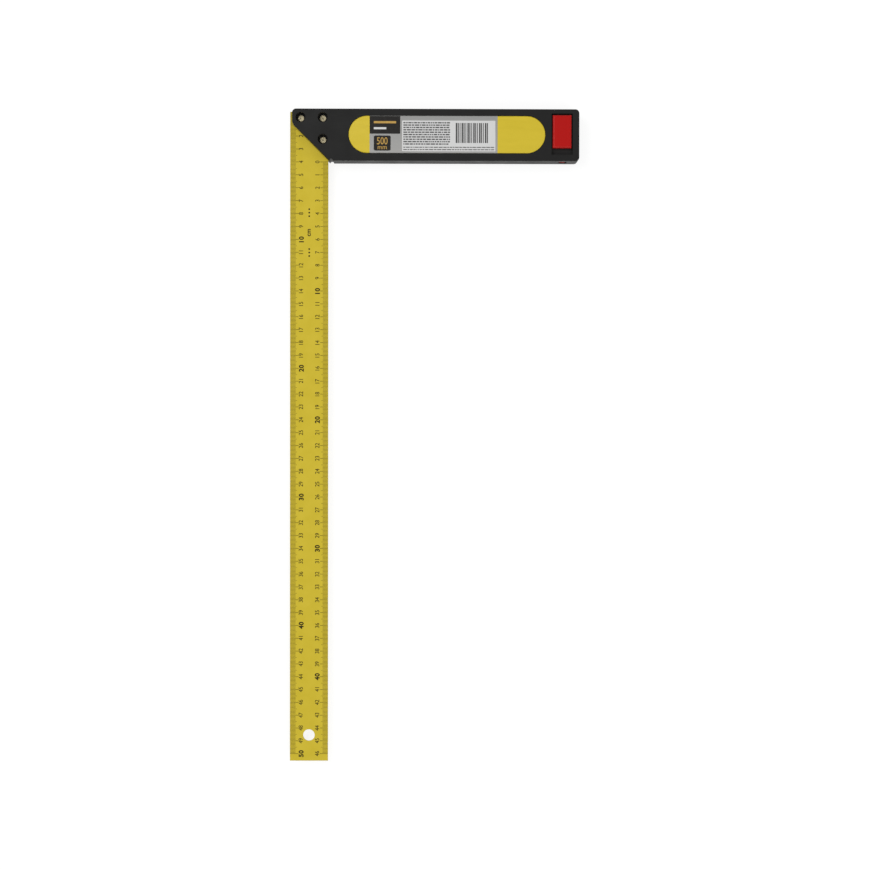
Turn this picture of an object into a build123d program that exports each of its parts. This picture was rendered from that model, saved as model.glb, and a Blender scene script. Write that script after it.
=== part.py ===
from build123d import *

import os
from math import radians, tan

# Carpenter square: a graduated blade riveted into a moulded two-shell stock with a slide-out ledge.
# Millimetres, +Z up. The square lies flat: X runs along the stock, Y along the blade, and the rear
# face of the stock is on the plane Z = 0. The origin is the middle of the overall footprint.
# Places are given as distances from the outer corner of the square: "along" the stock from the
# blade's outer edge, and "down" the blade from the stock's outer face.

# Blade
BLADE_WIDTH = 29.6
BLADE_THICKNESS = 1.5
SCALE_LENGTH = 500.0
BLADE_OVERRUN = 5.5
BLADE_SETBACK = 1.2
BLADE_EDGE = 0.2
HANG_HOLE_DIAMETER = 9.0
HANG_HOLE_FROM_END = 20.0

# Stock outline
STOCK_LENGTH = 221.6
STOCK_WIDTH = 40.0
STOCK_THICKNESS = 20.0
STOCK_INSET = 2.0
MITRE_GAP = 1.2
MITRE_ANGLE = 45.0
CORNER_RADIUS = 3.0
MITRE_RADIUS = 4.8
MITRE_ROUND_SHARE = 0.9
EDGE_ROUND = 0.5
SEAM_BEVEL = 0.15
RELIEF_RADIUS = 1.5
RELIEF_FROM_BLADE = 2.65
RELIEF_STAND_OFF = 0.1

# Shell walls and ribs
WALL = 2.4
REAR_FACE_WALL = 2.4
POCKET_WALL = 2.2
RIB = 1.4
RIB_PITCH = 19.0
RIB_GAP = 1.5
TANG_STOP = 1.6
TANG_FIT = 0.1
LIP_WIDTH = 1.1
LIP_HEIGHT = 0.8
LIP_FIT = 0.15
LIP_END_GAP = 4.0

# Rivets
RIVET_FROM_OUTER_EDGE = 8.5
RIVET_FROM_INNER_EDGE = 4.0
RIVET_FROM_OUTER_FACE = 6.6
RIVET_FROM_INNER_FACE = 16.7
RIVET_SHANK = 3.2
RIVET_FIT = 0.1
RIVET_HEAD = 5.2
RIVET_HEAD_HEIGHT = 0.7
RIVET_HEAD_SLOPE = 0.4
RIVET_DIMPLE = 1.8
RIVET_DIMPLE_DEPTH = 0.25
RIVET_TAIL_HEIGHT = 1.0
RIVET_TAIL_BORE = 2.0
RIVET_TAIL_DEPTH = 3.0
RIVET_WEB = 1.2
RIVET_WELL = 7.8
RIVET_BOSS_WALL = 1.6

# Face inlay and paper label
INLAY_THICKNESS = 1.2
INLAY_SINK = 0.2
INLAY_FIT = 0.15
INLAY_FROM_OUTER_FACE = 5.3
INLAY_FROM_INNER_FACE = 5.9
INLAY_FROM_BLADE = 15.9
INLAY_FROM_WINDOW = 4.8
INLAY_BEVEL = 0.3
LABEL_THICKNESS = 0.12
LABEL_FROM_INLAY_START = 16.3
LABEL_FROM_INLAY_END = 37.0
LABEL_MARGIN = 0.35

# Thumb button and its window
WINDOW_FROM_END = 5.2
WINDOW_FROM_OUTER_FACE = 3.4
WINDOW_FROM_INNER_FACE = 5.0
WINDOW_DEPTH = 3.6
WINDOW_FLOOR = 1.8
WINDOW_MARGIN = 1.6
BUTTON_WIDTH = 14.5
BUTTON_SIDE_GAP = 0.85
BUTTON_TOP_GAP = 1.2
BUTTON_RISE = 1.0
BUTTON_ROUND = 1.4
STEM_WIDTH = 4.8
STEM_LENGTH = 12.0
STEM_DEPTH = 5.0
STEM_FIT = 0.05
BARB = 0.4
BARB_HEIGHT = 1.0

# Sliding ledge
LEDGE_TRAVEL = 4.6
END_CLEARANCE = 0.4
SLIDE_FIT = 0.2
LEDGE_BODY_WIDTH = 10.0
LEDGE_BODY_LENGTH = 24.0
TONGUE_WIDTH = 4.6
TONGUE_SIDE_GAP = 0.7
TONGUE_OFFSET = 0.9
TONGUE_THICKNESS = 8.4
TONGUE_RECESS = 0.65
TONGUE_ROUND = 0.6
RAIL = 1.6
RUNNER = 1.4
RUNNER_SPREAD = 5.0

# Shell screws
SCREW_SHANK = 3.0
SCREW_HEAD = 5.6
SCREW_HEAD_HEIGHT = 1.8
SCREW_HEAD_FIT = 0.3
SCREW_SINK = 0.2
SCREW_FIT = 0.15
PILOT_FIT = 0.02
SCREW_POINT = 1.5
SCREW_TIP_GAP = 1.0
SCREW_CROSS_WIDTH = 0.7
SCREW_CROSS_LENGTH = 2.8
SCREW_CROSS_DEPTH = 0.9
SCREW_BOSS_WALL = 2.0

# Sizes and places that follow from the driving dimensions
OVERALL_X = STOCK_INSET + STOCK_LENGTH
OVERALL_Y = SCALE_LENGTH + BLADE_OVERRUN
PARTING = STOCK_THICKNESS / 2
HALF = STOCK_THICKNESS / 2
POCKET_DEPTH = INLAY_THICKNESS + INLAY_SINK
FRONT_FACE_WALL = POCKET_DEPTH + POCKET_WALL
MITRE_FOOT = BLADE_WIDTH + MITRE_GAP

RIVET_SPOTS = [
    (RIVET_FROM_OUTER_EDGE, RIVET_FROM_OUTER_FACE),
    (BLADE_WIDTH - RIVET_FROM_INNER_EDGE, RIVET_FROM_OUTER_FACE),
    (BLADE_WIDTH - RIVET_FROM_INNER_EDGE, STOCK_WIDTH - RIVET_FROM_INNER_FACE),
]
RIVET_GRIP = BLADE_THICKNESS / 2 + RIVET_WEB

WINDOW_ALONG = (
    OVERALL_X - WINDOW_FROM_END - BUTTON_WIDTH - 2 * BUTTON_SIDE_GAP,
    OVERALL_X - WINDOW_FROM_END,
)
WINDOW_DOWN = (WINDOW_FROM_OUTER_FACE, STOCK_WIDTH - WINDOW_FROM_INNER_FACE)
WINDOW_FLOOR_TOP = STOCK_THICKNESS - WINDOW_DEPTH
WINDOW_FLOOR_UNDER = WINDOW_FLOOR_TOP - WINDOW_FLOOR
SLIDE_CENTRE = sum(WINDOW_ALONG) / 2
TONGUE_CENTRE = SLIDE_CENTRE + TONGUE_OFFSET
BUTTON_DOWN = (WINDOW_DOWN[0] + BUTTON_TOP_GAP, WINDOW_DOWN[1] - LEDGE_TRAVEL - END_CLEARANCE)
STEM_START = (sum(BUTTON_DOWN) - STEM_LENGTH) / 2
STEM_DOWN = (STEM_START, STEM_START + STEM_LENGTH)

LEDGE_TOP = WINDOW_FLOOR_UNDER - SLIDE_FIT
LEDGE_UNDER = PARTING - TONGUE_THICKNESS / 2
LEDGE_SHOULDER = STOCK_WIDTH - WALL - LEDGE_TRAVEL - END_CLEARANCE
STEM_END = LEDGE_TOP - STEM_DEPTH

INLAY_ALONG = (BLADE_WIDTH + INLAY_FROM_BLADE, WINDOW_ALONG[0] - INLAY_FROM_WINDOW)
INLAY_LENGTH = INLAY_ALONG[1] - INLAY_ALONG[0]
INLAY_WIDTH = STOCK_WIDTH - INLAY_FROM_OUTER_FACE - INLAY_FROM_INNER_FACE
INLAY_LINE = INLAY_FROM_OUTER_FACE + INLAY_WIDTH / 2
INLAY_CENTRE = (sum(INLAY_ALONG) / 2, INLAY_LINE)
POCKET_FLOOR = STOCK_THICKNESS - POCKET_DEPTH
INLAY_TOP = POCKET_FLOOR + INLAY_THICKNESS

SCREW_SPOTS = [
    (INLAY_ALONG[0] + INLAY_WIDTH / 2, INLAY_LINE),
    (INLAY_ALONG[1] - INLAY_WIDTH / 2, INLAY_LINE),
]
SCREW_SEAT = POCKET_FLOOR - SCREW_SINK - SCREW_HEAD_HEIGHT
SCREW_TIP = REAR_FACE_WALL + SCREW_TIP_GAP
SCREW_WELL = SCREW_HEAD + 2 * SCREW_HEAD_FIT
FRONT_BOSS = SCREW_WELL + 2 * SCREW_BOSS_WALL
REAR_BOSS = SCREW_SHANK + 2 * SCREW_BOSS_WALL

FRONT = 1
REAR = -1


def at(along, down, height=0.0):
    """Location of a point from its distances along the stock and down the blade, and its height."""
    return Pos(along - OVERALL_X / 2, OVERALL_Y / 2 - down, height)


def block(along, down, height):
    """Box between two distances along, two distances down and two heights."""
    ranges = (along, down, height)
    sizes = [high - low for low, high in ranges]
    centres = [(low + high) / 2 for low, high in ranges]
    return at(*centres) * Box(*sizes)


def post(spot, diameter, height):
    """Upright cylinder at a spot, between two heights."""
    low, high = height
    return at(*spot, (low + high) / 2) * Cylinder(diameter / 2, high - low)


def slab(face, height):
    """A flat face drawn at Z = 0, thickened between two heights."""
    low, high = height
    return Pos(0, 0, low) * extrude(face, high - low)


def span(side, near, far):
    """Lower and upper height of what lies between two distances from the parting plane, on one side."""
    return sorted((PARTING + side * near, PARTING + side * far))


def widened(limits, amount):
    """The two limits moved apart by an amount at each end."""
    return limits[0] - amount, limits[1] + amount


def centred(middle, width):
    """Two limits, a width apart, about a middle."""
    return middle - width / 2, middle + width / 2


def rounded_corner(sketch, along, down, radius):
    """The sketch with its corner nearest to that place rounded."""
    corner = sketch.vertices().sort_by_distance(at(along, down).position)[0]
    return fillet(corner, radius)


def stock_outline():
    """Plan of the stock: a bar whose blade end is mitred below a short square end."""
    end = OVERALL_X
    mitre_top = STOCK_WIDTH - (MITRE_FOOT - STOCK_INSET) * tan(radians(MITRE_ANGLE))
    corners = [
        (STOCK_INSET, 0),
        (end, 0),
        (end, STOCK_WIDTH),
        (MITRE_FOOT, STOCK_WIDTH),
        (STOCK_INSET, mitre_top),
    ]
    sketch = make_face(Polyline(*[at(*corner).position for corner in corners], close=True))
    for corner in corners[:3]:
        sketch = rounded_corner(sketch, *corner, CORNER_RADIUS)
    # The round at the mitre takes no more than a share of what the corner's round leaves of the short end.
    room = (mitre_top - CORNER_RADIUS) / tan(radians(90 - MITRE_ANGLE) / 2)
    return rounded_corner(sketch, STOCK_INSET, mitre_top, min(MITRE_RADIUS, MITRE_ROUND_SHARE * room))


def shell_ribs(side, ceiling):
    """Cross ribs, and a spine in line with the screws, that stiffen the hollow part of one shell."""
    height = span(side, RIB_GAP, ceiling)
    start = BLADE_WIDTH + TANG_FIT + TANG_STOP
    stop = WINDOW_ALONG[0] - WINDOW_MARGIN
    count = int((stop - start) // RIB_PITCH)
    pitch = (stop - start) / (count + 1)
    ribs = block((start, stop), centred(INLAY_LINE, RIB), height)
    for number in range(1, count + 1):
        ribs += block(centred(start + number * pitch, RIB), (0, STOCK_WIDTH), height)
    return ribs


def tang_seat(side, ceiling):
    """Rivet bosses, the ribs that join them and the wall that the blade's inner edge stands against."""
    height = span(side, 0, ceiling)
    stop_start = BLADE_WIDTH + TANG_FIT
    seat = block((stop_start, stop_start + TANG_STOP), (0, STOCK_WIDTH), height)
    for spot in RIVET_SPOTS:
        seat += post(spot, RIVET_WELL + 2 * RIVET_BOSS_WALL, height)
    first, corner, last = RIVET_SPOTS
    seat += block((first[0], corner[0]), centred(corner[1], TANG_STOP), height)
    seat += block(centred(corner[0], TANG_STOP), (corner[1], last[1]), height)
    return seat


def slide_rails(side, ceiling):
    """Two rails that guide the ledge, from the outer wall to the inner wall."""
    height = span(side, 0, ceiling)
    clear = LEDGE_BODY_WIDTH / 2 + SLIDE_FIT
    rails = block((SLIDE_CENTRE - clear - RAIL, SLIDE_CENTRE - clear), (0, STOCK_WIDTH), height)
    rails += block((SLIDE_CENTRE + clear, SLIDE_CENTRE + clear + RAIL), (0, STOCK_WIDTH), height)
    return rails


def half_shell(side, face_wall, inside):
    """One shell of the stock with its inner features, tang pocket, rivet wells and ledge slot."""
    outline = stock_outline()
    body = slab(outline, span(side, 0, HALF))
    face_height = PARTING + side * HALF
    rim = body.edges().filter_by_position(Axis.Z, face_height, face_height)
    body = fillet(rim, EDGE_ROUND)
    seam = body.edges().filter_by_position(Axis.Z, PARTING, PARTING)
    body = chamfer(seam, SEAM_BEVEL)
    hollow = slab(offset(outline, -WALL), span(side, 0, HALF - face_wall))
    body = body - hollow + (hollow & inside)

    tang = (-STOCK_INSET, BLADE_WIDTH + TANG_FIT)
    tang_down = (BLADE_SETBACK - TANG_FIT, STOCK_WIDTH + BLADE_WIDTH)
    body -= block(tang, tang_down, span(side, 0, BLADE_THICKNESS / 2))
    for spot in RIVET_SPOTS:
        body -= post(spot, RIVET_SHANK + 2 * RIVET_FIT, span(side, 0, HALF))
        body -= post(spot, RIVET_WELL, span(side, RIVET_GRIP, STOCK_THICKNESS))

    relief = (BLADE_WIDTH + RELIEF_FROM_BLADE, STOCK_WIDTH + RELIEF_STAND_OFF)
    body -= post(relief, 2 * RELIEF_RADIUS, (0, STOCK_THICKNESS))

    slot = centred(TONGUE_CENTRE, TONGUE_WIDTH + 2 * TONGUE_SIDE_GAP)
    slot_down = (STOCK_WIDTH - 2 * WALL, STOCK_WIDTH + WALL)
    return body - block(slot, slot_down, span(side, 0, TONGUE_THICKNESS / 2 + SLIDE_FIT))


def lip_bars(grow):
    """Locating lip along both long walls below the parting plane, made larger all round by an amount."""
    reach = (BLADE_WIDTH + TANG_STOP + LIP_END_GAP, WINDOW_ALONG[0] - LIP_END_GAP)
    height = (PARTING - LIP_HEIGHT - grow, PARTING)
    outer = (WALL - LIP_WIDTH, WALL)
    inner = (STOCK_WIDTH - WALL, STOCK_WIDTH - WALL + LIP_WIDTH)
    bars = block(widened(reach, grow), widened(outer, grow), height)
    return bars + block(widened(reach, grow), widened(inner, grow), height)


def stadium(length, width):
    """Plan of the inlay and its pocket: a bar with half-round ends."""
    return at(*INLAY_CENTRE) * SlotOverall(length, width)


def front_shell():
    """Shell with the inlay pocket, the screw wells and the window of the thumb button."""
    ceiling = HALF - FRONT_FACE_WALL
    inside = shell_ribs(FRONT, ceiling) + tang_seat(FRONT, ceiling) + slide_rails(FRONT, ceiling)
    for spot in SCREW_SPOTS:
        inside += post(spot, FRONT_BOSS, span(FRONT, 0, ceiling))
    inside += block(
        widened(WINDOW_ALONG, WINDOW_MARGIN),
        widened(WINDOW_DOWN, WINDOW_MARGIN),
        (WINDOW_FLOOR_UNDER, PARTING + ceiling),
    )
    body = half_shell(FRONT, FRONT_FACE_WALL, inside) + lip_bars(0)

    pocket = stadium(INLAY_LENGTH + 2 * INLAY_FIT, INLAY_WIDTH + 2 * INLAY_FIT)
    body -= slab(pocket, (POCKET_FLOOR, STOCK_THICKNESS))
    for spot in SCREW_SPOTS:
        body -= post(spot, SCREW_WELL, (SCREW_SEAT, POCKET_FLOOR))
        body -= post(spot, SCREW_SHANK + 2 * SCREW_FIT, (PARTING, SCREW_SEAT))

    body -= block(WINDOW_ALONG, WINDOW_DOWN, (WINDOW_FLOOR_TOP, STOCK_THICKNESS))
    stem_slot = (STEM_DOWN[0] - SLIDE_FIT, STEM_DOWN[1] + LEDGE_TRAVEL + SLIDE_FIT)
    stem_room = centred(SLIDE_CENTRE, STEM_WIDTH + 2 * SLIDE_FIT)
    return body - block(stem_room, stem_slot, (PARTING, STOCK_THICKNESS))


def rear_shell():
    """Shell that the square rests on, with the screw bosses and the runners under the ledge."""
    ceiling = HALF - REAR_FACE_WALL
    inside = shell_ribs(REAR, ceiling) + tang_seat(REAR, ceiling) + slide_rails(REAR, ceiling)
    for spot in SCREW_SPOTS:
        inside += post(spot, REAR_BOSS, span(REAR, 0, ceiling))
    for place in centred(SLIDE_CENTRE, RUNNER_SPREAD):
        inside += block(centred(place, RUNNER), (0, STOCK_WIDTH), (0, LEDGE_UNDER - SLIDE_FIT))
    body = half_shell(REAR, REAR_FACE_WALL, inside) - lip_bars(LIP_FIT)
    for spot in SCREW_SPOTS:
        body -= post(spot, SCREW_SHANK + 2 * PILOT_FIT, (SCREW_TIP - PILOT_FIT, PARTING))
    return body


def blade():
    """Flat strip with its rivet holes at the stock end and a hanging hole at the free end."""
    height = (PARTING - BLADE_THICKNESS / 2, PARTING + BLADE_THICKNESS / 2)
    strip = block((0, BLADE_WIDTH), (BLADE_SETBACK, OVERALL_Y), height)
    sides = strip.edges().filter_by(Axis.Y)
    ends = strip.edges().filter_by(Axis.X)
    strip = chamfer(sides + ends, BLADE_EDGE)
    for spot in RIVET_SPOTS:
        strip -= post(spot, RIVET_SHANK + 2 * RIVET_FIT, height)
    return strip - post((BLADE_WIDTH / 2, OVERALL_Y - HANG_HOLE_FROM_END), HANG_HOLE_DIAMETER, height)


def turned(outline):
    """Solid of revolution about Z from the corners of its half section, as (radius, height)."""
    return revolve(Plane.XZ * make_face(Polyline(*outline, close=True)), Axis.Z)


def rivet():
    """Semi-tubular rivet about the parting plane: flat dimpled head in front, flared end behind."""
    shank, head, dimple, bore = (
        size / 2 for size in (RIVET_SHANK, RIVET_HEAD, RIVET_DIMPLE, RIVET_TAIL_BORE)
    )
    crown = RIVET_GRIP + RIVET_HEAD_HEIGHT
    tail = -RIVET_GRIP - RIVET_TAIL_HEIGHT
    return turned([
        (0, crown - RIVET_DIMPLE_DEPTH), (dimple, crown), (head - RIVET_HEAD_SLOPE, crown),
        (head, RIVET_GRIP), (shank, RIVET_GRIP), (shank, -RIVET_GRIP), (head, -RIVET_GRIP),
        (bore, tail), (bore, tail + RIVET_TAIL_DEPTH), (0, tail + RIVET_TAIL_DEPTH),
    ])


def rivets():
    """The rivets that clamp the blade between the shells."""
    return [at(*spot, PARTING) * rivet() for spot in RIVET_SPOTS]


def shell_screw():
    """Self-tapping cheese-head screw with its point down and the underside of its head at Z = 0."""
    shank, head = SCREW_SHANK / 2, SCREW_HEAD / 2
    tip = SCREW_TIP - SCREW_SEAT
    body = turned([
        (0, tip), (shank, tip + SCREW_POINT), (shank, 0),
        (head, 0), (head, SCREW_HEAD_HEIGHT), (0, SCREW_HEAD_HEIGHT),
    ])
    cross_centre = Pos(0, 0, SCREW_HEAD_HEIGHT - SCREW_CROSS_DEPTH / 2)
    body -= cross_centre * Box(SCREW_CROSS_LENGTH, SCREW_CROSS_WIDTH, SCREW_CROSS_DEPTH)
    return body - cross_centre * Box(SCREW_CROSS_WIDTH, SCREW_CROSS_LENGTH, SCREW_CROSS_DEPTH)


def shell_screws():
    """The screws under the inlay that close the far end of the stock."""
    return [at(*spot, SCREW_SEAT) * shell_screw() for spot in SCREW_SPOTS]


def face_inlay():
    """Half-round-ended plate that covers the screws and carries the label."""
    plate = slab(stadium(INLAY_LENGTH, INLAY_WIDTH), (POCKET_FLOOR, INLAY_TOP))
    rim = plate.faces().sort_by(Axis.Z)[-1]
    return chamfer(rim.edges(), INLAY_BEVEL)


def paper_label():
    """Sticker across the middle of the inlay."""
    along = (INLAY_ALONG[0] + LABEL_FROM_INLAY_START, INLAY_ALONG[1] - LABEL_FROM_INLAY_END)
    down = widened(centred(INLAY_LINE, INLAY_WIDTH), -LABEL_MARGIN)
    return block(along, down, (INLAY_TOP, INLAY_TOP + LABEL_THICKNESS))


def stem(fit):
    """Barbed stem that joins the thumb button to the ledge, made larger all round by a fit."""
    along = centred(SLIDE_CENTRE, STEM_WIDTH)
    down = widened(STEM_DOWN, fit)
    body = block(widened(along, fit), down, (STEM_END - fit, WINDOW_FLOOR_TOP + SLIDE_FIT))
    barb = (STEM_END + BARB_HEIGHT - fit, STEM_END + 2 * BARB_HEIGHT + fit)
    return body + block(widened(along, BARB + fit), down, barb)


def thumb_button():
    """Cap that stands a little proud of the front face, with its stem."""
    height = (WINDOW_FLOOR_TOP + SLIDE_FIT, STOCK_THICKNESS + BUTTON_RISE)
    cap = block(centred(SLIDE_CENTRE, BUTTON_WIDTH), BUTTON_DOWN, height)
    crown = cap.faces().sort_by(Axis.Z)[-1]
    return fillet(crown.edges(), BUTTON_ROUND) + stem(0)


def support_ledge():
    """Slide between the rails, with a tongue that reaches out through the inner face of the stock."""
    along = centred(SLIDE_CENTRE, LEDGE_BODY_WIDTH)
    body = block(along, (LEDGE_SHOULDER - LEDGE_BODY_LENGTH, LEDGE_SHOULDER), (LEDGE_UNDER, LEDGE_TOP))
    tongue = block(
        centred(TONGUE_CENTRE, TONGUE_WIDTH),
        (LEDGE_SHOULDER - TONGUE_WIDTH, STOCK_WIDTH - TONGUE_RECESS),
        centred(PARTING, TONGUE_THICKNESS),
    )
    tip = tongue.faces().sort_by(Axis.Y)[0]
    tongue = fillet(tip.edges(), TONGUE_ROUND)
    return body + tongue - stem(STEM_FIT)


PARTS = {
    "blade": blade,
    "stock_front_shell": front_shell,
    "stock_rear_shell": rear_shell,
    "face_inlay": face_inlay,
    "paper_label": paper_label,
    "thumb_button": thumb_button,
    "support_ledge": support_ledge,
    "rivets": rivets,
    "shell_screws": shell_screws,
}

os.makedirs("parts", exist_ok=True)
for name, make in PARTS.items():
    made = make()
    solids = made if isinstance(made, list) else made.solids()
    export_step(Compound(children=list(solids)), f"parts/{name}.step")
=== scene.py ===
import math
import random

import bmesh
import bpy
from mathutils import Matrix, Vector


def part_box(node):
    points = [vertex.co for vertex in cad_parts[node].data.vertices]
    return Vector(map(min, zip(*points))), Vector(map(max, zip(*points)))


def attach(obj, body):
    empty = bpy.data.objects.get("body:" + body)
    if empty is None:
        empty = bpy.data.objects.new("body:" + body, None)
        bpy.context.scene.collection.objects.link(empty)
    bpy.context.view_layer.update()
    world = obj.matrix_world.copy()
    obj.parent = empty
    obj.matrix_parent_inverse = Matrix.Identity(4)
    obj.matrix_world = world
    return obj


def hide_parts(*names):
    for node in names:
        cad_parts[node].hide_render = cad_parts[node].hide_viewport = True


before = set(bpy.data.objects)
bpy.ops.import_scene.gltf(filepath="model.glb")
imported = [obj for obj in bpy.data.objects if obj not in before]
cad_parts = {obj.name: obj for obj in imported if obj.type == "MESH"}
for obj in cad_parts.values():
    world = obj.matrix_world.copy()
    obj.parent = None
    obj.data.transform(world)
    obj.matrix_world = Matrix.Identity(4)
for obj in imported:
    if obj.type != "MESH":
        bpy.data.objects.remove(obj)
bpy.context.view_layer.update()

MM = 0.001


def mm(*values):
    """The same lengths in metres."""
    return tuple(value * MM for value in values)


# Camera: almost straight above the square
CAMERA_PLACE = (-0.01282, 0.02315, 1.54788)
CAMERA_TURN_DEG = (-0.823, -0.508, 0.091)
CAMERA_LENS_MM = 81.82
CAMERA_SENSOR_MM = 36.0
CAMERA_REACH = 100.0

# Studio: each lamp has a place, a size and a power in watts. The floor throws light back by its colour,
# and where it is seen, it has a darker one and a glow that together make a white page
FLOOR_SIZE = 40.0
FLOOR_DROP = 0.2 * MM
FLOOR_COLOR = (0.86, 0.86, 0.86)
FLOOR_SEEN_COLOR = (0.25, 0.25, 0.25)
FLOOR_ROUGHNESS = 0.9
FLOOR_GLOW = 0.82
WHITE = (1.0, 1.0, 1.0)
WORLD_STRENGTH = 0.5
LAMP_COLOR = (1.0, 1.0, 0.99)
LAMP_TARGET = (0.0, 0.0, 0.0)
LAMPS = {
    "key_box": ((-0.8, 0.6, 1.55), (1.0, 1.0), 11.5),
    "fill_box": ((0.5, -0.7, 1.6), (1.0, 1.0), 8.5),
}

# Finishes: a pair is the two ends between which noise moves a colour or a roughness, a relief is a
# strength and a depth, a detail counts a noise's finer layers, and a length is the size of its features
FULL = (0.0, 1.0)
PLAIN_SHINE = 0.5
PLAIN_DETAIL = 2.0
SOFT_DETAIL = 3.0
PATCH_DETAIL = 4.0
SCUFF_DETAIL = 5.0
NOISE_SPREAD = (0.3, 0.7)
EDGE_RISE = (0.1, 0.4)
EDGE_FALL = (0.75, 0.97)
BLADE_COLORS = ((0.585, 0.45, 0.022), (0.62, 0.48, 0.03))
BLADE_METAL = (0.62, 0.6, 0.56)
BLADE_ROUGHNESS = (0.42, 0.56)
BLADE_SHINE = 0.2
BLADE_MOTTLE = 9.0 * MM
BLADE_WEAR = 2.5 * MM
BLADE_WEAR_SPREAD = (0.52, 0.7)
BLADE_LINES = 0.35 * MM
BLADE_LINE_STRETCH = (1.0, 0.02, 1.0)
BLADE_GRAIN = 0.6 * MM
BLADE_RELIEF_SPREAD = (0.6, 1.4)
BLADE_RELIEF = (0.25, 0.02 * MM)
STOCK_COLORS = ((0.0058, 0.0058, 0.0056), (0.026, 0.026, 0.025))
STOCK_ROUGHNESS = (0.48, 0.6)
STOCK_SHINE = 0.24
STOCK_SCUFF = 1.2 * MM
STOCK_SCUFF_STRETCH = (0.15, 1.0, 1.0)
STOCK_SCUFF_SPREAD = (0.6, 0.8)
STOCK_SCUFF_SHARE = 0.25
STOCK_BURNISH_SHARE = 0.2
STOCK_SMEAR = 14.0 * MM
STOCK_GRAIN = 0.28 * MM
STOCK_RELIEF = (0.35, 0.03 * MM)
INLAY_COLORS = ((0.625, 0.478, 0.027), (0.665, 0.51, 0.034))
INLAY_ROUGHNESS = (0.34, 0.46)
INLAY_SHINE = 0.22
INLAY_FLOW = 5.0 * MM
INLAY_FLOW_STRETCH = (0.2, 1.0, 1.0)
INLAY_GRAIN = 0.5 * MM
INLAY_RELIEF = (0.12, 0.02 * MM)
# Red plastic, then the paler, greyer red of a painted highlight on its rounded rims, laid in patches about
# 1.5 mm across
RED_AND_RIM_HIGHLIGHT_COLORS = ((0.44, 0.0045, 0.0035), (0.48, 0.03, 0.026))
RED_ROUGHNESS = (0.3, 0.42)
RED_SHINE = 0.14
RED_RIM_HIGHLIGHT_PATCH = 1.5 * MM
RED_GRAIN = 0.35 * MM
RED_RELIEF = (0.15, 0.02 * MM)
RIVET_COLORS = ((0.67, 0.595, 0.405), (0.54, 0.475, 0.315))
RIVET_ROUGHNESS = (0.5, 0.62)
SCREW_COLORS = ((0.55, 0.55, 0.56), (0.42, 0.41, 0.4))
SCREW_ROUGHNESS = (0.28, 0.44)
METAL_STAIN = 1.1 * MM
METAL_STAIN_SPREAD = (0.4, 0.7)
METAL_GRAIN = 0.2 * MM
METAL_RELIEF = (0.15, 0.015 * MM)
INK_ROUGHNESS = (0.45, 0.6)
INK_SHINE = 0.12
INK_PATCH = 1.5 * MM
INK_PATCH_SPREAD = (0.35, 0.75)
INK_FADE = 1.3
INK_FADE_LEVEL = 0.004
BLADE_INK = (0.015, 0.01, 0.002)
LABEL_INK = (0.017, 0.016, 0.015)
LABEL_GOLD = (0.44, 0.27, 0.07)
LABEL_SMALL_INK = (0.08, 0.08, 0.08)
LABEL_BAR_INK = (0.05, 0.05, 0.05)
PAPER_WHITE = (0.67, 0.67, 0.67)
PAPER_SILVERS = ((0.37, 0.366, 0.357), (0.31, 0.31, 0.305))
PAPER_ROUGHNESS = (0.4, 0.52)
PAPER_SHINE = 0.3
PAPER_FIBRE = 0.5 * MM
PAPER_FIBRE_STRETCH = (0.3, 1.0, 1.0)
PAPER_FIBRE_SHADE = 0.95
PAPER_RELIEF = (0.1, 0.01 * MM)

# Graduations printed on the blade: ticks have a width and a length for each millimetre, half and whole
# centimetre, and a look is a text's height, its stretch along the run, its weight and its letter spacing
OUTER_SCALE_CM = 50
INNER_SCALE_CM = 46
TICKS_PER_CM = 10
TICKS_PER_HALF_CM = 5
TICK_STEP = 1.0 * MM
TICK_WIDTHS = mm(0.24, 0.2, 0.3)
OUTER_TICKS = mm(4.4, 5.3, 6.7)
INNER_TICKS = mm(4.2, 5.3, 6.2)
TICK_EDGE_GAP = 0.22 * MM
FIRST_OUTER_MM = 2
FIRST_OUTER_CM = 2
BOLD_EVERY_CM = 10
PRINT_HEIGHT = 0.03 * MM
PRINT_MARGIN = 0.05 * MM
OUTER_NUMBER_GAP = 6.8 * MM
INNER_NUMBER_GAP = 6.8 * MM
INNER_TEN_GAP = 6.4 * MM
NUMBER_HEIGHT = 3.3 * MM
NUMBER_LOOK = (NUMBER_HEIGHT, 0.92, 0.005, 0.96)
TEN_HEIGHT = 3.9 * MM
TEN_LOOK = (TEN_HEIGHT, 1.02, 0.038, 1.1)

# Text outlines, before they are scaled, and the cut that trims them
TEXT_STEPS = 6
TEXT_HALF_DEPTH = 0.5
TEXT_WELD = 4e-3
TEXT_CLEANINGS = 2
WALL_TILT = 0.1
SHARPEST_CORNER = -0.5
CUT_TOLERANCE = 1e-9

# Points of a CAD mesh that lie closer than this are one point
POINT_WELD = 0.001 * MM

# Dots and the unit mark on the blade's middle line, from the stock's outer face
DOT_DIAMETER = 1.35 * MM
DOT_PITCH = 2.7 * MM
DOT_ROWS = mm(76.6, 107.5)
DOT_COUNT = 3
DOT_SIDES = 20
UNIT_PLACE = 94.75 * MM
UNIT_HEIGHT = 2.5 * MM
UNIT_LOOK = (UNIT_HEIGHT, 1.0, 0.022, 1.0)

# Mitre end of the stock, where the blade comes out
MITRE_GAP = 1.2 * MM
STOCK_INSET = 2.0 * MM

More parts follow.
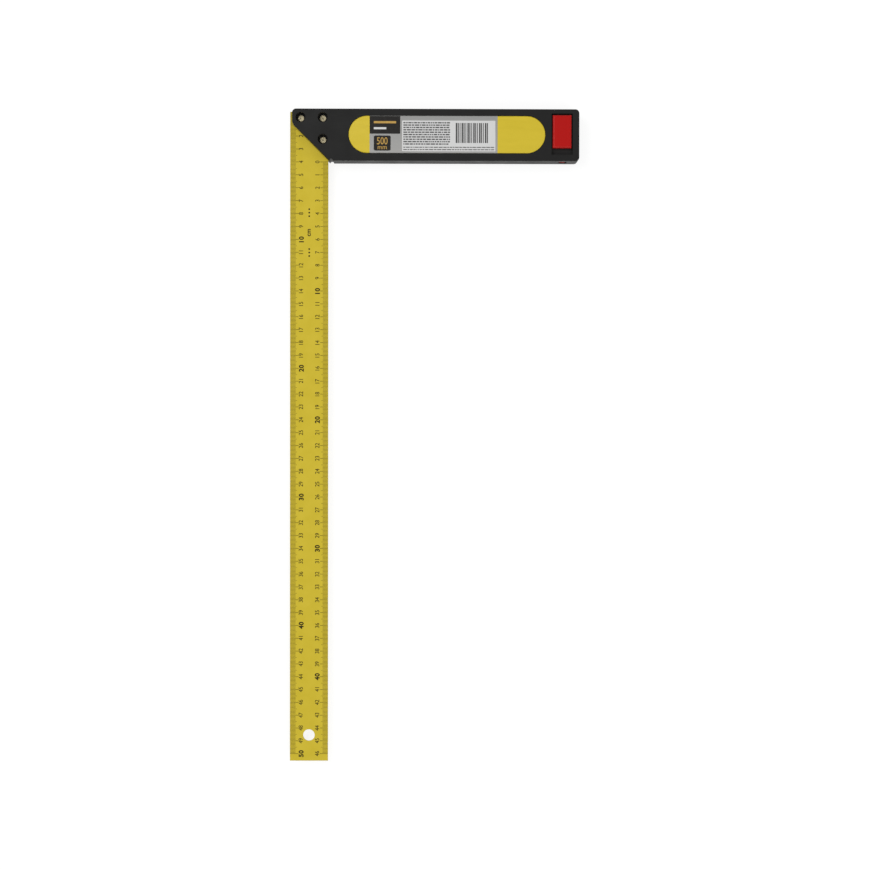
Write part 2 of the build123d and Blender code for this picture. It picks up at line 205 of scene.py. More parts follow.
# Inlay rim and the rivets' shapes
INLAY_ROUND = 0.7 * MM
ROUND_STEPS = 6
ARC_STEPS = 48
CRISP_ANGLE_DEG = 40
RIVET_SIDES = 40
RIVET_HEAD = 5.2 * MM
RIVET_SHANK = 3.2 * MM
RIVET_HEAD_HEIGHT = 0.7 * MM
RIVET_HEAD_ROUND = 0.4 * MM
RIVET_DIMPLE = 1.8 * MM
RIVET_DIMPLE_DEPTH = 0.25 * MM
RIVET_TAIL_HEIGHT = 1.0 * MM
RIVET_TAIL_BORE = 2.0 * MM
RIVET_TAIL_DEPTH = 3.0 * MM

# Label print: a field is left, right, top and bottom, from the label's left and top edges, and rows are
# a count, left, right, the top of the first and the height of each
LABEL_WRAP_DEG = 55
PRINT_LAYER = 0.012 * MM
BAND = mm(0.0, 23.6, 0.0, 13.6)
GOLD_RULE = mm(3.2, 20.4, 3.9, 5.6)
WHITE_RULE = mm(3.2, 12.8, 8.6, 10.2)
SIZE_BOX = mm(3.2, 16.2, 15.0, 26.6)
SIZE_BOX_ROUND = 1.2 * MM
SIZE_NUMBER_FOOT = 21.9 * MM
SIZE_NUMBER_LOOK = (5.6 * MM, 0.74, 0.008, 1.0)
SIZE_UNIT_FOOT = 25.5 * MM
SIZE_UNIT_LOOK = (2.3 * MM, 1.0, 0.008, 1.0)
PANEL = mm(25.0, 97.0, 3.4, 27.0)
PANEL_ROUND = 0.4 * MM
ROW_PITCH = 1.82 * MM
NOTE_ROWS = (10, *mm(26.0, 62.0, 4.6, 1.0))
FOOT_ROWS = (2, *mm(26.0, 96.0, 23.6, 0.7))
DASH_LENGTHS = mm(0.8, 3.4)
DASH_GAP = 0.5 * MM
DASH_SEED = 7
BARS = mm(66.4, 92.6, 5.2, 20.6)
BAR_PITCH = 1.5 * MM
BAR_WIDTHS = mm(1.1, 0.8, 0.6)

# Places read from the frame
blade_low, blade_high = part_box("blade")
stock_low, stock_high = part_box("stock_front_shell")
inlay_low, inlay_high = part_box("face_inlay")
label_low, label_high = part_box("paper_label")
rivets_low, rivets_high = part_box("rivets")
outer_face = stock_high.y
inner_face = stock_low.y
blade_face = blade_high.z
mitre_foot = Vector((blade_high.x + MITRE_GAP, inner_face, blade_face))
mitre_normal = Vector((1, 1, 0)).normalized()


def new_material(name, color, shine=PLAIN_SHINE, metallic=0.0):
    """A material with those values on its shader, and its tree and shader."""
    material = bpy.data.materials.new(name)
    material.use_nodes = True
    tree = material.node_tree
    shader = tree.nodes["Principled BSDF"]
    shader.inputs["Base Color"].default_value = (*color, 1.0)
    shader.inputs["Specular IOR Level"].default_value = shine
    shader.inputs["Metallic"].default_value = metallic
    return material, tree, shader


def object_coords(tree, stretch=(1.0, 1.0, 1.0)):
    """Object coordinates, scaled along each axis."""
    coords = tree.nodes.new("ShaderNodeTexCoord")
    mapping = tree.nodes.new("ShaderNodeMapping")
    mapping.inputs["Scale"].default_value = stretch
    tree.links.new(coords.outputs["Object"], mapping.inputs["Vector"])
    return mapping.outputs["Vector"]


def axis_value(tree, vector, axis):
    """One part of a vector socket."""
    split = tree.nodes.new("ShaderNodeSeparateXYZ")
    tree.links.new(vector, split.inputs["Vector"])
    return split.outputs[axis]


def noise(tree, coords, size, detail=PLAIN_DETAIL):
    """Noise whose features are about that size, in metres."""
    node = tree.nodes.new("ShaderNodeTexNoise")
    node.inputs["Scale"].default_value = 1.0 / size
    node.inputs["Detail"].default_value = detail
    tree.links.new(coords, node.inputs["Vector"])
    return node.outputs["Fac"]


def remap(tree, value, source, target=FULL):
    """The value carried from one range to another, held at its ends."""
    node = tree.nodes.new("ShaderNodeMapRange")
    node.inputs["From Min"].default_value, node.inputs["From Max"].default_value = source
    node.inputs["To Min"].default_value, node.inputs["To Max"].default_value = target
    tree.links.new(value, node.inputs["Value"])
    return node.outputs["Result"]


def math_node(tree, operation, first, second):
    """One sum of two sockets, or of a socket and a number."""
    node = tree.nodes.new("ShaderNodeMath")
    node.operation = operation
    for socket, value in zip(node.inputs, (first, second)):
        if isinstance(value, (int, float)):
            socket.default_value = value
        else:
            tree.links.new(value, socket)
    return node.outputs["Value"]


def color_mix(tree, factor, first, second):
    """Two colours, or a socket and a colour, mixed by a socket."""
    node = tree.nodes.new("ShaderNodeMix")
    node.data_type = "RGBA"
    sockets = [socket for socket in node.inputs if socket.type == "RGBA"]
    for socket, value in zip(sockets, (first, second)):
        if isinstance(value, tuple):
            socket.default_value = (*value, 1.0)
        else:
            tree.links.new(value, socket)
    tree.links.new(factor, node.inputs["Factor"])
    return next(socket for socket in node.outputs if socket.type == "RGBA")


def bump(tree, shader, height, relief):
    """Surface relief from a height socket."""
    node = tree.nodes.new("ShaderNodeBump")
    node.inputs["Strength"].default_value, node.inputs["Distance"].default_value = relief
    tree.links.new(height, node.inputs["Height"])
    tree.links.new(node.outputs["Normal"], shader.inputs["Normal"])


def edge_mask(tree):
    """1 on rounded and bevelled edges, where the surface faces neither up nor sideways, and 0 on flats."""
    geometry = tree.nodes.new("ShaderNodeNewGeometry")
    upright = math_node(tree, "ABSOLUTE", axis_value(tree, geometry.outputs["Normal"], "Z"), 0.0)
    rising = remap(tree, upright, EDGE_RISE)
    falling = remap(tree, upright, EDGE_FALL, FULL[::-1])
    return math_node(tree, "MULTIPLY", rising, falling)


def blade_material():
    """Yellow coating on rolled aluminium: faint rolling lines, mottling, and metal showing at worn edges."""
    material, tree, shader = new_material("coated_blade", BLADE_COLORS[0], BLADE_SHINE)
    coords = object_coords(tree)
    mottle = remap(tree, noise(tree, coords, BLADE_MOTTLE, SOFT_DETAIL), NOISE_SPREAD)
    coat = color_mix(tree, mottle, *BLADE_COLORS)
    patches = remap(tree, noise(tree, coords, BLADE_WEAR, PATCH_DETAIL), BLADE_WEAR_SPREAD)
    worn = math_node(tree, "MULTIPLY", edge_mask(tree), patches)
    tree.links.new(color_mix(tree, worn, coat, BLADE_METAL), shader.inputs["Base Color"])
    tree.links.new(worn, shader.inputs["Metallic"])
    lines = noise(tree, object_coords(tree, BLADE_LINE_STRETCH), BLADE_LINES)
    relief = math_node(tree, "ADD", lines, noise(tree, coords, BLADE_GRAIN))
    roughness = remap(tree, relief, BLADE_RELIEF_SPREAD, BLADE_ROUGHNESS)
    tree.links.new(roughness, shader.inputs["Roughness"])
    bump(tree, shader, relief, BLADE_RELIEF)
    return material


def stock_material():
    """Black moulded plastic with a fine spark-eroded grain, faint scuffs and burnished edges."""
    material, tree, shader = new_material("stock_plastic", STOCK_COLORS[0], STOCK_SHINE)
    coords = object_coords(tree)
    marks = noise(tree, object_coords(tree, STOCK_SCUFF_STRETCH), STOCK_SCUFF, SCUFF_DETAIL)
    scuffs = math_node(tree, "MULTIPLY", remap(tree, marks, STOCK_SCUFF_SPREAD), STOCK_SCUFF_SHARE)
    burnish = math_node(tree, "MULTIPLY", edge_mask(tree), STOCK_BURNISH_SHARE)
    wear = math_node(tree, "MAXIMUM", scuffs, burnish)
    tree.links.new(color_mix(tree, wear, *STOCK_COLORS), shader.inputs["Base Color"])
    smears = noise(tree, coords, STOCK_SMEAR, SOFT_DETAIL)
    tree.links.new(remap(tree, smears, NOISE_SPREAD, STOCK_ROUGHNESS), shader.inputs["Roughness"])
    bump(tree, shader, noise(tree, coords, STOCK_GRAIN), STOCK_RELIEF)
    return material


def inlay_material():
    """Glossy yellow plastic with soft flow marks."""
    material, tree, shader = new_material("inlay_plastic", INLAY_COLORS[0], INLAY_SHINE)
    flow = noise(tree, object_coords(tree, INLAY_FLOW_STRETCH), INLAY_FLOW, SOFT_DETAIL)
    color = color_mix(tree, remap(tree, flow, NOISE_SPREAD), *INLAY_COLORS)
    tree.links.new(color, shader.inputs["Base Color"])
    fine = noise(tree, object_coords(tree), INLAY_GRAIN)
    tree.links.new(remap(tree, fine, NOISE_SPREAD, INLAY_ROUGHNESS), shader.inputs["Roughness"])
    bump(tree, shader, fine, INLAY_RELIEF)
    return material


def ledge_material():
    """Red moulded plastic with a painted highlight: paler red along its rounded edges, in patches."""
    material, tree, shader = new_material("ledge_plastic", RED_AND_RIM_HIGHLIGHT_COLORS[0], RED_SHINE)
    coords = object_coords(tree)
    # Painted highlight: rounded edges turn a paler red, patchy by noise
    rim_highlight = math_node(tree, "MULTIPLY", edge_mask(tree), noise(tree, coords, RED_RIM_HIGHLIGHT_PATCH, SOFT_DETAIL))
    tree.links.new(color_mix(tree, rim_highlight, *RED_AND_RIM_HIGHLIGHT_COLORS), shader.inputs["Base Color"])
    fine = noise(tree, coords, RED_GRAIN)
    tree.links.new(remap(tree, fine, NOISE_SPREAD, RED_ROUGHNESS), shader.inputs["Roughness"])
    bump(tree, shader, fine, RED_RELIEF)
    return material


def metal_material(name, colors, roughness):
    """Plated steel with stains and a fine turned grain."""
    material, tree, shader = new_material(name, colors[0], metallic=1.0)
    coords = object_coords(tree)
    stain = remap(tree, noise(tree, coords, METAL_STAIN, SOFT_DETAIL), METAL_STAIN_SPREAD)
    tree.links.new(color_mix(tree, stain, *colors), shader.inputs["Base Color"])
    fine = noise(tree, coords, METAL_GRAIN)
    tree.links.new(remap(tree, fine, NOISE_SPREAD, roughness), shader.inputs["Roughness"])
    bump(tree, shader, fine, METAL_RELIEF)
    return material


def ink_material(name, color):
    """Printing ink, a little uneven in colour and shine."""
    material, tree, shader = new_material(name, color, INK_SHINE)
    patch = remap(tree, noise(tree, object_coords(tree), INK_PATCH, PATCH_DETAIL), INK_PATCH_SPREAD)
    faded = tuple(INK_FADE * part + INK_FADE_LEVEL for part in color)
    tree.links.new(color_mix(tree, patch, color, faded), shader.inputs["Base Color"])
    tree.links.new(remap(tree, patch, FULL, INK_ROUGHNESS), shader.inputs["Roughness"])
    return material


def paper_material(name, lower, upper):
    """Coated sticker paper with a faint fibre, shaded from a colour at the foot to one at the top."""
    material, tree, shader = new_material(name, lower, PAPER_SHINE)
    height = axis_value(tree, object_coords(tree), "Y")
    rise = remap(tree, height, (label_low.y, label_high.y))
    fibre = noise(tree, object_coords(tree, PAPER_FIBRE_STRETCH), PAPER_FIBRE, PATCH_DETAIL)
    shades = []
    for share in (PAPER_FIBRE_SHADE, 1.0):
        ends = [tuple(share * part for part in color) for color in (lower, upper)]
        shades.append(color_mix(tree, rise, *ends))
    color = color_mix(tree, remap(tree, fibre, NOISE_SPREAD), *shades)
    tree.links.new(color, shader.inputs["Base Color"])
    tree.links.new(remap(tree, fibre, NOISE_SPREAD, PAPER_ROUGHNESS), shader.inputs["Roughness"])
    bump(tree, shader, fibre, PAPER_RELIEF)
    return material


def dress(node, material):
    """Gives a CAD node its finish."""
    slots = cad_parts[node].data.materials
    slots.clear()
    slots.append(material)


def weld_points(node):
    """Joins the doubled points of a CAD node, such as those at a cone's tip."""
    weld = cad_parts[node].modifiers.new("weld", "WELD")
    weld.merge_threshold = POINT_WELD


def add_piece(name, builder, material):
    """A closed mesh piece that rides on the square, finished with the material it is given."""
    mesh = bpy.data.meshes.new(name)
    bmesh.ops.recalc_face_normals(builder, faces=builder.faces)
    builder.to_mesh(mesh)
    builder.free()
    mesh.materials.append(material)
    piece = bpy.data.objects.new(name, mesh)
    bpy.context.scene.collection.objects.link(piece)
    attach(piece, "square")
    return piece


def soften(piece):
    """Smooth shading, with edges sharper than an angle kept crisp."""
    mesh = piece.data
    mesh.polygons.foreach_set("use_smooth", [True] * len(mesh.polygons))
    mesh.set_sharp_from_angle(angle=math.radians(CRISP_ANGLE_DEG))


def add_prism(builder, outline, bottom, top):
    """A closed prism over a plan outline, between two heights."""
    lower = [builder.verts.new((x, y, bottom)) for x, y in outline]
    upper = [builder.verts.new((x, y, top)) for x, y in outline]
    builder.faces.new(lower[::-1])
    builder.faces.new(upper)
    for number in range(len(outline)):
        after = (number + 1) % len(outline)
        builder.faces.new((lower[number], lower[after], upper[after], upper[number]))


def rectangle(low_x, high_x, low_y, high_y):
    """Corners of a plan rectangle, turning left."""
    return [(low_x, low_y), (high_x, low_y), (high_x, high_y), (low_x, high_y)]


def rounded_rectangle(low_x, high_x, low_y, high_y, radius):
    """Corners of a plan rectangle with rounded corners, turning left."""
    centres = rectangle(low_x + radius, high_x - radius, low_y + radius, high_y - radius)
    corners = []
    for number, (x, y) in enumerate(centres):
        for step in range(ROUND_STEPS + 1):
            turn = math.pi * (1 + number / 2) + math.pi / 2 * step / ROUND_STEPS
            corners.append((x + radius * math.cos(turn), y + radius * math.sin(turn)))
    return corners


def circle(centre, diameter, sides):
    """Corners of a plan polygon that stands for a circle."""
    turns = [2 * math.pi * side / sides for side in range(sides)]
    return [
        (centre[0] + diameter / 2 * math.cos(turn), centre[1] + diameter / 2 * math.sin(turn))
        for turn in turns
    ]


def thicken(builder, weight):
    """Moves the walls of upright letters outward by a weight, each point along the two that differ most."""
    bmesh.ops.recalc_face_normals(builder, faces=builder.faces)
    moves = []
    for vert in builder.verts:
        walls = [face.normal for face in vert.link_faces if abs(face.normal.z) < WALL_TILT]
        one = walls[0]
        other = min(walls, key=one.dot)
        corner = max(SHARPEST_CORNER, one.dot(other))
        moves.append((one + other) * (weight / (1 + corner)))
    for vert, move in zip(builder.verts, moves):
        vert.co += move


def text_builder(text, weight, spacing):
    """The text as a closed bmesh of unit thickness, its outline thickened by a weight."""
    curve = bpy.data.curves.new("letters", "FONT")
    curve.body = text
    curve.extrude = TEXT_HALF_DEPTH
    curve.space_character = spacing
    curve.resolution_u = TEXT_STEPS
    holder = bpy.data.objects.new("letters", curve)
    bpy.context.scene.collection.objects.link(holder)
    bpy.context.view_layer.update()
    graph = bpy.context.evaluated_depsgraph_get()
    mesh = bpy.data.meshes.new_from_object(holder.evaluated_get(graph))
    builder = bmesh.new()
    builder.from_mesh(mesh)
    bmesh.ops.remove_doubles(builder, verts=builder.verts, dist=TEXT_WELD)
    for _ in range(TEXT_CLEANINGS):
        bmesh.ops.dissolve_degenerate(builder, edges=builder.edges, dist=TEXT_WELD)
    builder.normal_update()
    thicken(builder, weight)
    bpy.data.objects.remove(holder)
    bpy.data.curves.remove(curve)
    bpy.data.meshes.remove(mesh)
    return builder


def text_limits(builder):
    """Lowest and highest corner of the text in its own plane."""
    xs = [vert.co.x for vert in builder.verts]
    ys = [vert.co.y for vert in builder.verts]
    return (min(xs), min(ys)), (max(xs), max(ys))


def add_text(target, text, place, look, quarter_turn):
    """Adds text to a builder: middle of its run and its foot at a place (x, y, z), turned left if asked.

    Its look is a height, a stretch along the run, a weight and a letter spacing.
    """
    height, stretch, weight, spacing = look
    letters = text_builder(text, weight, spacing)
    (low_x, low_y), (high_x, high_y) = text_limits(letters)
    scale = height / (high_y - low_y)
    for vert in letters.verts:
        along = (vert.co.x - (low_x + high_x) / 2) * scale * stretch
        up = (vert.co.y - low_y) * scale
        lift = place[2] + (vert.co.z + TEXT_HALF_DEPTH) * PRINT_HEIGHT
        if quarter_turn:
            vert.co = (place[0] - up, place[1] + along, lift)
        else:
            vert.co = (place[0] + along, place[1] + up, lift)
    mesh = bpy.data.meshes.new("letters")
    letters.to_mesh(mesh)
    letters.free()
    target.from_mesh(mesh)
    bpy.data.meshes.remove(mesh)


def cut_away(builder, point, normal):
    """Removes what lies beyond a plane and closes the cut."""
    everything = builder.verts[:] + builder.edges[:] + builder.faces[:]
    bmesh.ops.bisect_plane(
        builder, geom=everything, plane_co=point, plane_no=normal, clear_outer=True, dist=CUT_TOLERANCE
    )
    open_edges = [edge for edge in builder.edges if edge.is_boundary]
    bmesh.ops.holes_fill(builder, edges=open_edges)


def outer_reach(y):
    """How far from its outer edge the blade shows clear of the stock, at a height on the page."""
    past_end = STOCK_INSET - PRINT_MARGIN
    past_mitre = mitre_foot.x + mitre_foot.y - y - blade_low.x - PRINT_MARGIN
    return max(past_end, past_mitre)


def add_ticks(builder, zero, first, last, edge, inward, lengths, reach=None):
    """Ticks from an edge inward, one a millimetre, longer at each half and whole centimetre.

    Where the stock covers some of the blade, reach gives the longest tick at each height on the page.
    """
    for number in range(first, last + 1):
        y = zero - number * TICK_STEP
        kind = 0
        if number % TICKS_PER_HALF_CM == 0:
            kind = 1
        if number % TICKS_PER_CM == 0:
            kind = 2
        half_width = TICK_WIDTHS[kind] / 2
        length = min(lengths[kind], reach(y)) if reach else lengths[kind]
        start = edge + inward * TICK_EDGE_GAP
        end = edge + inward * length
        outline = rectangle(min(start, end), max(start, end), y - half_width, y + half_width)
        add_prism(builder, outline, blade_face, blade_face + PRINT_HEIGHT)


def add_numbers(builder, zero, first, last, foot, foot_of_tens):
    """Centimetre numbers that read up the blade, each beside its tick, with the tens bold."""
    for number in range(first, last + 1):
        y = zero - number * TICKS_PER_CM * TICK_STEP
        bold = number > 0 and number % BOLD_EVERY_CM == 0
        x, look = (foot_of_tens, TEN_LOOK) if bold else (foot, NUMBER_LOOK)
        add_text(builder, str(number), (x, y, blade_face), look, True)


def outer_scale(ink):
    """Ticks and numbers of the scale that starts at the stock's outer face."""
    ticks = bmesh.new()
    last = OUTER_SCALE_CM * TICKS_PER_CM
    add_ticks(ticks, outer_face, FIRST_OUTER_MM, last, blade_low.x, 1, OUTER_TICKS, outer_reach)
    add_piece("outer_scale_ticks", ticks, ink)
    numbers = bmesh.new()
    head = blade_low.x + OUTER_NUMBER_GAP
    feet = head + NUMBER_HEIGHT, head + TEN_HEIGHT
    add_numbers(numbers, outer_face, FIRST_OUTER_CM, OUTER_SCALE_CM, *feet)
    cut_away(numbers, mitre_foot - mitre_normal * PRINT_MARGIN, mitre_normal)
    add_piece("outer_scale_numbers", numbers, ink)


def inner_scale(ink):
    """Ticks and numbers of the scale that starts at the stock's inner face."""
    ticks = bmesh.new()
    last = INNER_SCALE_CM * TICKS_PER_CM
    add_ticks(ticks, inner_face, 0, last, blade_high.x, -1, INNER_TICKS)
    add_piece("inner_scale_ticks", ticks, ink)
    numbers = bmesh.new()
    feet = blade_high.x - INNER_NUMBER_GAP, blade_high.x - INNER_TEN_GAP
    add_numbers(numbers, inner_face, 0, INNER_SCALE_CM, *feet)
    add_piece("inner_scale_numbers", numbers, ink)


def middle_marks(ink):
    """Two rows of dots with the unit between them."""
    builder = bmesh.new()
    middle = (blade_low.x + blade_high.x) / 2
    for start in DOT_ROWS:
        for number in range(DOT_COUNT):
            y = outer_face - start - number * DOT_PITCH
            outline = circle((middle, y), DOT_DIAMETER, DOT_SIDES)
            add_prism(builder, outline, blade_face, blade_face + PRINT_HEIGHT)
    place = (middle + UNIT_HEIGHT / 2, outer_face - UNIT_PLACE, blade_face)
    add_text(builder, "cm", place, UNIT_LOOK, True)
    add_piece("middle_marks", builder, ink)


def stadium(low, high, inset):
    """Corners of a plan bar with half-round ends, inside a box by an inset, turning left."""
    radius = (high.y - low.y) / 2
    middle_y = (low.y + high.y) / 2
    corners = []
    for end_x, start_turn in ((high.x - radius, -math.pi / 2), (low.x + radius, math.pi / 2)):
        for step in range(ARC_STEPS + 1):
            turn = start_turn + math.pi * step / ARC_STEPS
            reach = radius - inset
            corners.append((end_x + reach * math.cos(turn), middle_y + reach * math.sin(turn)))
    return corners


def add_rings(builder, rings):
    """A closed skin through plan rings of equal count, each at its height, capped at both ends."""
    rows = [[builder.verts.new((x, y, height)) for x, y in ring] for ring, height in rings]
    for row, after in zip(rows, rows[1:]):
        count = len(row)
        for number in range(count):
            following = (number + 1) % count
            builder.faces.new((row[number], row[following], after[following], after[number]))
    builder.faces.new(rows[0][::-1])
    builder.faces.new(rows[-1])


def inlay_plate(material):
    """Half-round-ended plate with a round upper rim."""
    rings = [(stadium(inlay_low, inlay_high, 0.0), inlay_low.z)]
    for step in range(ROUND_STEPS + 1):
        turn = math.pi / 2 * step / ROUND_STEPS
        inset = INLAY_ROUND * (1 - math.cos(turn))
        height = inlay_high.z - INLAY_ROUND * (1 - math.sin(turn))
        rings.append((stadium(inlay_low, inlay_high, inset), height))
    builder = bmesh.new()
    add_rings(builder, rings)
    plate = add_piece("inlay_plate", builder, material)
    soften(plate)
    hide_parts("face_inlay")


def rivet_profile(top, bottom):
    """Half section of a rivet as (radius, height), from the bottom of its dimple to the end of its bore."""
    head, shank, dimple, bore = (
        size / 2 for size in (RIVET_HEAD, RIVET_SHANK, RIVET_DIMPLE, RIVET_TAIL_BORE)
    )
    seat = top - RIVET_HEAD_HEIGHT
    rear_seat = bottom + RIVET_TAIL_HEIGHT
    turns = [math.pi / 2 * step / ROUND_STEPS for step in range(ROUND_STEPS + 1)]
    points = []
    for step, turn in enumerate(turns):
        points.append((dimple * step / ROUND_STEPS, top - RIVET_DIMPLE_DEPTH * math.cos(turn) ** 2))
    for turn in turns:
        across = head - RIVET_HEAD_ROUND * (1 - math.sin(turn))
        points.append((across, top - RIVET_HEAD_ROUND * (1 - math.cos(turn))))
    points += [(head, seat), (shank, seat), (shank, rear_seat), (head, rear_seat)]
    for turn in turns[1:]:
        across = head - (head - bore) * math.sin(turn) ** 2
        points.append((across, rear_seat - RIVET_TAIL_HEIGHT * math.sin(turn)))
    points += [(bore, bottom + RIVET_TAIL_DEPTH), (0.0, bottom + RIVET_TAIL_DEPTH)]
    return points


def add_turned(builder, centre, profile):
    """A closed skin turned about an upright axis, from a half section that starts and ends on it."""
    first = builder.verts.new((*centre, profile[0][1]))
    last = builder.verts.new((*centre, profile[-1][1]))
    rows = []
    for radius, height in profile[1:-1]:
        ring = circle(centre, 2 * radius, RIVET_SIDES)
        rows.append([builder.verts.new((x, y, height)) for x, y in ring])
    for number in range(RIVET_SIDES):
        following = (number + 1) % RIVET_SIDES
        builder.faces.new((first, rows[0][number], rows[0][following]))
        for row, after in zip(rows, rows[1:]):
            builder.faces.new((row[number], after[number], after[following], row[following]))
        builder.faces.new((last, rows[-1][following], rows[-1][number]))


def rivet_set(material):
    """The three rivets that clamp the blade."""
    reach = RIVET_HEAD / 2
    left, right = rivets_low.x + reach, rivets_high.x - reach
    upper, lower = rivets_high.y - reach, rivets_low.y + reach
    profile = rivet_profile(rivets_high.z, rivets_low.z)
    builder = bmesh.new()
    for centre in ((left, upper), (right, upper), (right, lower)):
        add_turned(builder, centre, profile)
    piece = add_piece("rivet_set", builder, material)
    soften(piece)
    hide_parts("rivets")


def label_section():
    """Section of the label across its width: flat on the inlay, bent down over its rim at both edges."""
    under = []
    over = []
    thickness = label_high.z - label_low.z
    for side, rim in ((1, inlay_high.y), (-1, inlay_low.y)):
        bend = []
        for step in range(ROUND_STEPS + 1):
            turn = math.radians(LABEL_WRAP_DEG) * step / ROUND_STEPS
            bend.append((side * math.sin(turn), math.cos(turn)))
        centre_y = rim - side * INLAY_ROUND
        centre_z = label_low.z - INLAY_ROUND
        for radius, points in ((INLAY_ROUND, under), (INLAY_ROUND + thickness, over)):
            arc = [(centre_y + across * radius, centre_z + up * radius) for across, up in bend]
            points.extend(arc[::-1] if side > 0 else arc)
    return over + under[::-1]


def label_sheet(material):
    """The sticker, wrapped over the inlay's long edges."""
    section = label_section()
    builder = bmesh.new()
    ends = [[builder.verts.new((x, y, z)) for y, z in section] for x in (label_low.x, label_high.x)]
    count = len(section)
    for number in range(count):
        following = (number + 1) % count
        builder.faces.new((ends[0][number], ends[0][following], ends[1][following], ends[1][number]))
    for end in ends:
        for number in range(count // 2 - 1):
            opposite = count - 1 - number
            builder.faces.new((end[number], end[number + 1], end[opposite - 1], end[opposite]))
    sheet = add_piece("label_sheet", builder, material)
    soften(sheet)
    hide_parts("paper_label")


def on_label(left, right, top, bottom):
    """A field of the label as limits along the frame's axes."""
    return label_low.x + left, label_low.x + right, label_high.y - bottom, label_high.y - top


def add_field(builder, field, base, radius=0.0):
    """A thin printed field of the label, with its corners rounded if asked."""
    limits = on_label(*field)
    outline = rounded_rectangle(*limits, radius) if radius else rectangle(*limits)
    add_prism(builder, outline, base, base + PRINT_LAYER)


def add_dash_rows(builder, rows, base, draw):
    """Rows of short dashes of uneven length, as small print looks from afar."""
    count, left, right, top, height = rows
    for number in range(count):
        start = left
        row_top = top + number * ROW_PITCH
        while start < right - DASH_LENGTHS[0]:
            end = min(right, start + draw.uniform(*DASH_LENGTHS))
            add_field(builder, (start, end, row_top, row_top + height), base)
            start = end + DASH_GAP


def label_fields(face):
    """The dark band and size box, and the pale panel."""
    dark = bmesh.new()
    add_field(dark, BAND, face)
    add_field(dark, SIZE_BOX, face, SIZE_BOX_ROUND)
    add_piece("label_dark_fields", dark, ink_material("label_black", LABEL_INK))
    panel = bmesh.new()
    add_field(panel, PANEL, face, PANEL_ROUND)
    white = paper_material("label_white", PAPER_WHITE, PAPER_WHITE)
    add_piece("label_panel", panel, white)
    rule = bmesh.new()
    add_field(rule, WHITE_RULE, face + PRINT_LAYER)
    add_piece("label_white_rule", rule, white)


def label_size_mark(base):
    """The length in gold, and a gold rule."""
    marks = bmesh.new()
    middle = label_low.x + (SIZE_BOX[0] + SIZE_BOX[1]) / 2
    number_place = (middle, label_high.y - SIZE_NUMBER_FOOT, base)
    unit_place = (middle, label_high.y - SIZE_UNIT_FOOT, base)
    add_text(marks, "500", number_place, SIZE_NUMBER_LOOK, False)
    add_text(marks, "mm", unit_place, SIZE_UNIT_LOOK, False)
    add_field(marks, GOLD_RULE, base)
    add_piece("label_gold_marks", marks, ink_material("label_gold", LABEL_GOLD))


def label_small_print(base):
    """Dashes and even bars on the pale panel."""
    dashes = bmesh.new()
    draw = random.Random(DASH_SEED)
    add_dash_rows(dashes, NOTE_ROWS, base, draw)
    add_dash_rows(dashes, FOOT_ROWS, base, draw)
    add_piece("label_small_print", dashes, ink_material("label_grey", LABEL_SMALL_INK))
    bars = bmesh.new()
    left, right, top, bottom = BARS
    for number in range(int((right - left) / BAR_PITCH)):
        start = left + number * BAR_PITCH
        width = BAR_WIDTHS[number % len(BAR_WIDTHS)]
        add_field(bars, (start, start + width, top, bottom), base)
    add_piece("label_bars", bars, ink_material("label_bar_ink", LABEL_BAR_INK))


def add_camera():
    """The camera above the square."""
    data = bpy.data.cameras.new("camera")
    data.sensor_fit = "HORIZONTAL"
    data.sensor_width = CAMERA_SENSOR_MM
    data.lens = CAMERA_LENS_MM
    data.clip_end = CAMERA_REACH
    camera = bpy.data.objects.new("camera", data)
    camera.location = CAMERA_PLACE
    camera.rotation_euler = [math.radians(angle) for angle in CAMERA_TURN_DEG]
    bpy.context.scene.collection.objects.link(camera)
    bpy.context.scene.camera = camera


def add_lamp(name, place, size, power):
    """A soft box at a place, facing the square."""
    data = bpy.data.lights.new(name, "AREA")
    data.shape = "RECTANGLE"
    data.size, data.size_y = size
    data.energy = power
    data.color = LAMP_COLOR
    lamp = bpy.data.objects.new(name, data)
    lamp.location = place
    aim = Vector(LAMP_TARGET) - Vector(place)
    lamp.rotation_euler = aim.to_track_quat("-Z", "Y").to_euler()
    bpy.context.scene.collection.objects.link(lamp)


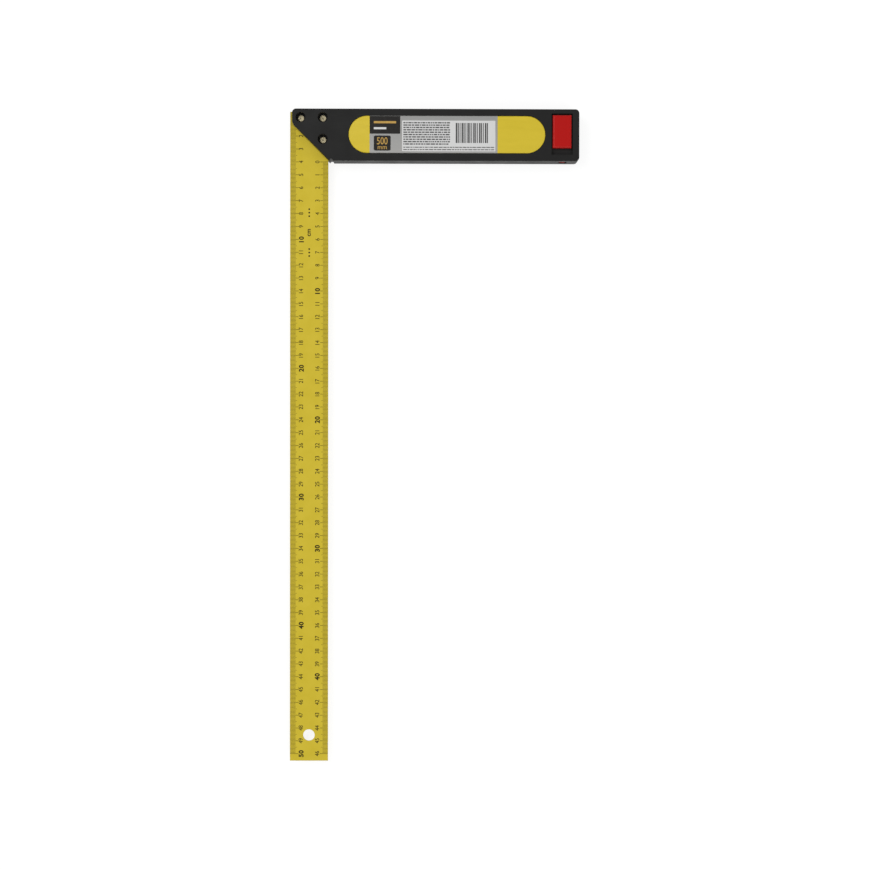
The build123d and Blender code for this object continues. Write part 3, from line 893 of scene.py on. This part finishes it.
def add_floor():
    """White floor that keeps the shadow and shows as a white page."""
    builder = bmesh.new()
    half = FLOOR_SIZE / 2
    corners = [builder.verts.new((x, y, -FLOOR_DROP)) for x, y in rectangle(-half, half, -half, half)]
    builder.faces.new(corners)
    mesh = bpy.data.meshes.new("floor")
    builder.to_mesh(mesh)
    builder.free()
    material, tree, shader = new_material("floor", FLOOR_COLOR, shine=0.0)
    shader.inputs["Roughness"].default_value = FLOOR_ROUGHNESS
    path = tree.nodes.new("ShaderNodeLightPath")
    seen = math_node(tree, "ADD", path.outputs["Is Camera Ray"], path.outputs["Is Glossy Ray"])
    seen = math_node(tree, "ADD", seen, path.outputs["Is Transmission Ray"])
    tree.links.new(color_mix(tree, seen, FLOOR_COLOR, FLOOR_SEEN_COLOR), shader.inputs["Base Color"])
    glow = math_node(tree, "MULTIPLY", seen, FLOOR_GLOW)
    shader.inputs["Emission Color"].default_value = (*WHITE, 1.0)
    tree.links.new(glow, shader.inputs["Emission Strength"])
    mesh.materials.append(material)
    floor = bpy.data.objects.new("floor", mesh)
    bpy.context.scene.collection.objects.link(floor)


def add_studio():
    """Soft boxes on both sides of the mitre's line, on a pale world."""
    world = bpy.data.worlds.new("studio")
    world.use_nodes = True
    background = world.node_tree.nodes["Background"]
    background.inputs["Color"].default_value = (*WHITE, 1.0)
    background.inputs["Strength"].default_value = WORLD_STRENGTH
    bpy.context.scene.world = world
    for name, (place, size, power) in LAMPS.items():
        add_lamp(name, place, size, power)


def finish_nodes():
    """The finish of each CAD node that stays in view."""
    plastic = stock_material()
    red = ledge_material()
    dress("blade", blade_material())
    dress("stock_front_shell", plastic)
    dress("stock_rear_shell", plastic)
    dress("thumb_button", red)
    dress("support_ledge", red)
    dress("shell_screws", metal_material("screw_metal", SCREW_COLORS, SCREW_ROUGHNESS))
    weld_points("shell_screws")


bpy.context.scene.view_settings.view_transform = "Standard"
add_camera()
add_studio()
add_floor()
finish_nodes()
black_ink = ink_material("black_ink", BLADE_INK)
outer_scale(black_ink)
inner_scale(black_ink)
middle_marks(black_ink)
inlay_plate(inlay_material())
rivet_set(metal_material("rivet_metal", RIVET_COLORS, RIVET_ROUGHNESS))
label_sheet(paper_material("label_paper", *PAPER_SILVERS))
label_fields(label_high.z)
label_size_mark(label_high.z + PRINT_LAYER)
label_small_print(label_high.z + PRINT_LAYER)
